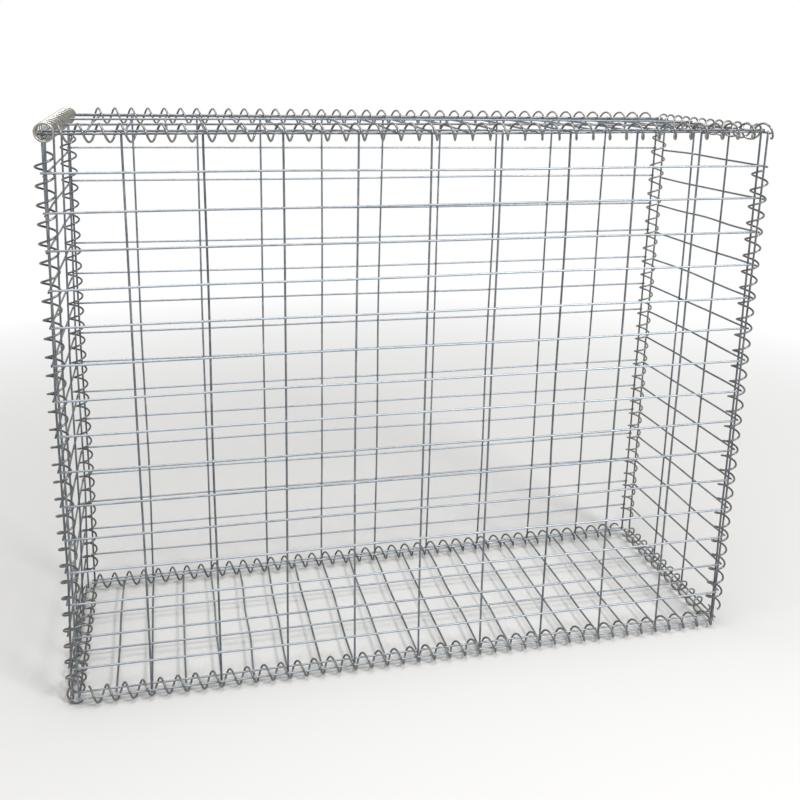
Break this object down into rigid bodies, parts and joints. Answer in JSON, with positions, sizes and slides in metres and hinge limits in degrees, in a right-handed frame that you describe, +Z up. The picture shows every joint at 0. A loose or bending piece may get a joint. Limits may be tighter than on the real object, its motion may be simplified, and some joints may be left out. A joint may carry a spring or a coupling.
{
  "type": "empty gabion basket",
  "caption": "Empty rectangular gabion basket of welded wire mesh panels, closed by a mesh lid and laced along every edge with helical wire binders.",
  "frame": {"origin": "on the ground, in the middle of the footprint", "axes": "+X along the length, from the left end to the right, +Y through the depth, from the front to the back, +Z up"},
  "size_m": [1.0416, 0.3416, 0.8306],
  "materials": {
    "mesh": "hot-dip galvanised welded mesh, satin grey with pale bloom",
    "binder": "galvanised round wire, brighter than the mesh"
  },
  "bodies": {
    "root": {"front_panel": "mesh", "back_panel": "mesh", "left_end_panel": "mesh", "right_end_panel": "mesh", "base_panel": "mesh", "lid_panel": "mesh", "front_bottom_binder": "binder", "front_top_binder": "binder", "back_bottom_binder": "binder", "back_top_binder": "binder", "left_bottom_binder": "binder", "left_top_binder": "binder", "right_bottom_binder": "binder", "right_top_binder": "binder", "front_left_binder": "binder", "front_right_binder": "binder", "back_left_binder": "binder", "back_right_binder": "binder"}
  },
  "joints": []
}
